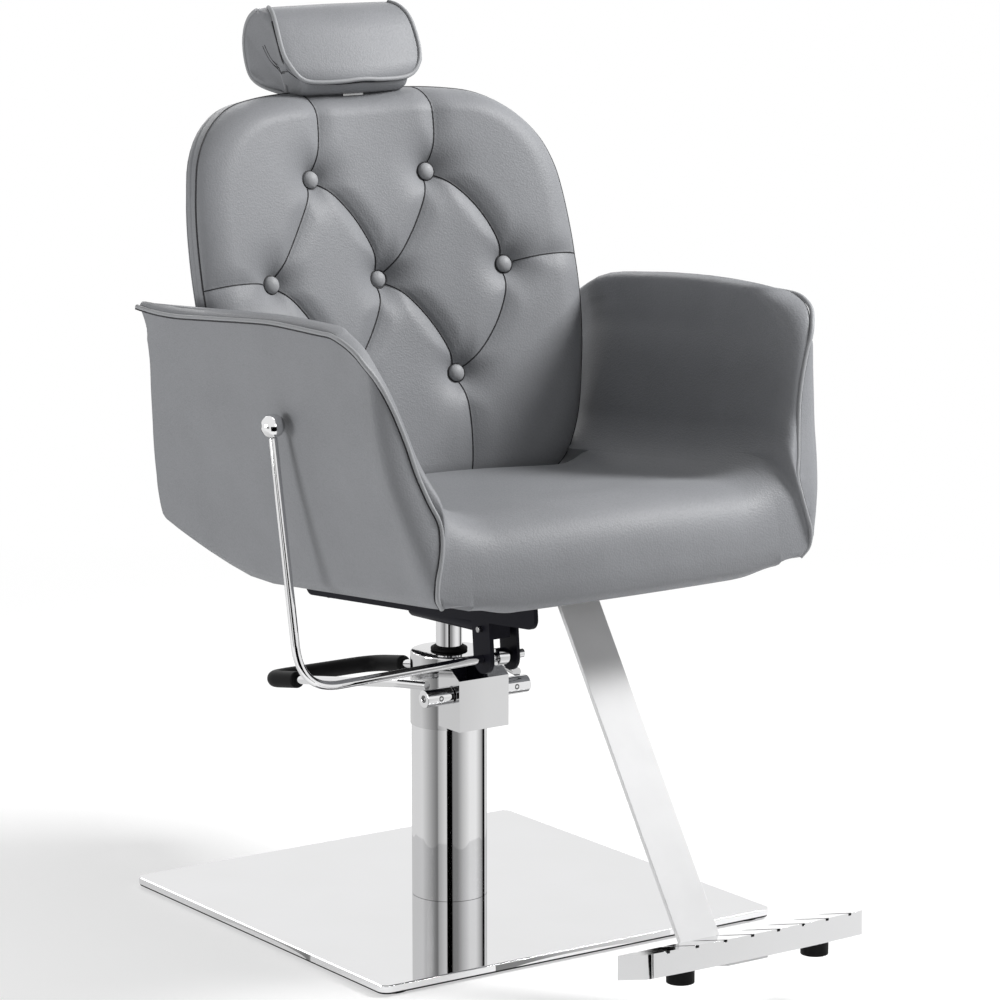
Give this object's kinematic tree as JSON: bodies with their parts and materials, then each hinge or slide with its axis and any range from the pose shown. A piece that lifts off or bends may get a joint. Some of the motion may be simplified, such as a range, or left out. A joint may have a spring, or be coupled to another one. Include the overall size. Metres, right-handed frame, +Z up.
{
  "type": "hydraulic barber chair",
  "caption": "Tufted leather barber chair with armrests, headrest and chrome footrest on a square-base hydraulic column with pump pedal, recline lever and gas spring.",
  "frame": {"origin": "on the floor under the axis of the column, at the underside of the rubber foot in the middle of the base plate", "axes": "+Z up along the column; the sitter faces -Y, so the footrest and the front of the seat point to -Y and the backrest and pump pedal to +Y; +X is the sitter's left and the recline lever is on the -X side"},
  "size_m": [0.705, 0.9883, 1.1574],
  "materials": {
    "grey_leather": "satin",
    "chrome": "polished",
    "black_steel": "satin",
    "plain_steel": "satin",
    "black_rubber": "matte",
    "plywood": "matte"
  },
  "bodies": {
    "base": {"base_plate": "chrome", "base_underlay": "black_rubber", "base_foot_1": "black_rubber", "base_foot_2": "black_rubber", "base_foot_3": "black_rubber", "base_foot_4": "black_rubber", "centre_foot": "black_rubber", "column_tube": "chrome", "pump_cylinder": "plain_steel", "pump_head": "chrome", "ram_seal": "black_rubber"},
    "pedal": {"pedal_axle": "chrome", "axle_collar_right": "chrome", "axle_collar_left": "chrome", "pedal_loop": "chrome", "pedal_sleeve": "black_rubber"},
    "ram": {"ram": "chrome"},
    "seat": {"seat_mount": "black_steel", "rail_right": "black_steel", "rail_left": "black_steel", "lever_cheek": "black_steel", "gas_front_pin": "plain_steel", "recline_pin": "plain_steel", "seat_board": "plywood", "seat_cushion": "grey_leather", "arm_right": "grey_leather", "arm_left": "grey_leather", "footrest_bar": "chrome", "footrest_tread": "chrome", "footrest_foot_right": "black_rubber", "footrest_foot_left": "black_rubber"},
    "lever": {"lever_rod": "chrome", "lever_knob": "chrome", "lever_collar": "chrome"},
    "back": {"back_bracket": "black_steel", "gas_rear_pin": "plain_steel", "back_board": "plywood", "back_cover": "grey_leather", "back_cushion": "grey_leather", "tuft_button_1": "grey_leather", "tuft_button_2": "grey_leather", "tuft_button_3": "grey_leather", "tuft_button_4": "grey_leather", "tuft_button_5": "grey_leather", "tuft_button_6": "grey_leather", "tuft_button_7": "grey_leather", "headrest_guide": "plain_steel"},
    "gas_cylinder": {"gas_cylinder": "black_steel"},
    "gas_rod": {"gas_rod": "chrome"},
    "headrest": {"headrest_post": "chrome", "headrest_pillow": "grey_leather"}
  },
  "joints": [
    {"name": "pedal_hinge", "type": "hinge", "parent": "base", "child": "pedal", "pos_m": [0, -0.06, 0.296], "axis": [-1, 0, 0], "range_deg": [0, 25], "stiffness_Nm_per_rad": 12, "springref_deg": -22.92},
    {"name": "lift", "type": "slide", "parent": "base", "child": "ram", "axis": [0, 0, 1], "range_m": [0, 0.15]},
    {"name": "swivel", "type": "hinge", "parent": "ram", "child": "seat", "pos_m": [0, 0, 0.41], "axis": [0, 0, 1], "continuous": true},
    {"name": "lever_hinge", "type": "hinge", "parent": "seat", "child": "lever", "pos_m": [0, -0.17146, 0.36782], "axis": [-1, 0, 0], "range_deg": [0, 15], "stiffness_Nm_per_rad": 8, "springref_deg": -8.59},
    {"name": "recline", "type": "hinge", "parent": "seat", "child": "back", "pos_m": [0, 0.20464, 0.44433], "axis": [-1, 0, 0], "range_deg": [0, 35]},
    {"name": "gas_cylinder_pivot", "type": "hinge", "parent": "seat", "child": "gas_cylinder", "pos_m": [-0.043, -0.16815, 0.40568], "axis": [1, 0, 0], "range_deg": [0, 2.2]},
    {"name": "gas_rod_slide", "type": "slide", "parent": "gas_cylinder", "child": "gas_rod", "axis": [0, 0.9992, -0.0411], "range_m": [-0.032, 0]},
    {"name": "headrest_slide", "type": "slide", "parent": "back", "child": "headrest", "axis": [0, 0.2588, 0.9659], "range_m": [0, 0.08]}
  ],
  "couplings": [
    {"joint": "gas_cylinder_pivot", "follows": "recline", "ratio": 0.0546},
    {"joint": "gas_rod_slide", "follows": "recline", "m_per_rad": -0.0496}
  ]
}
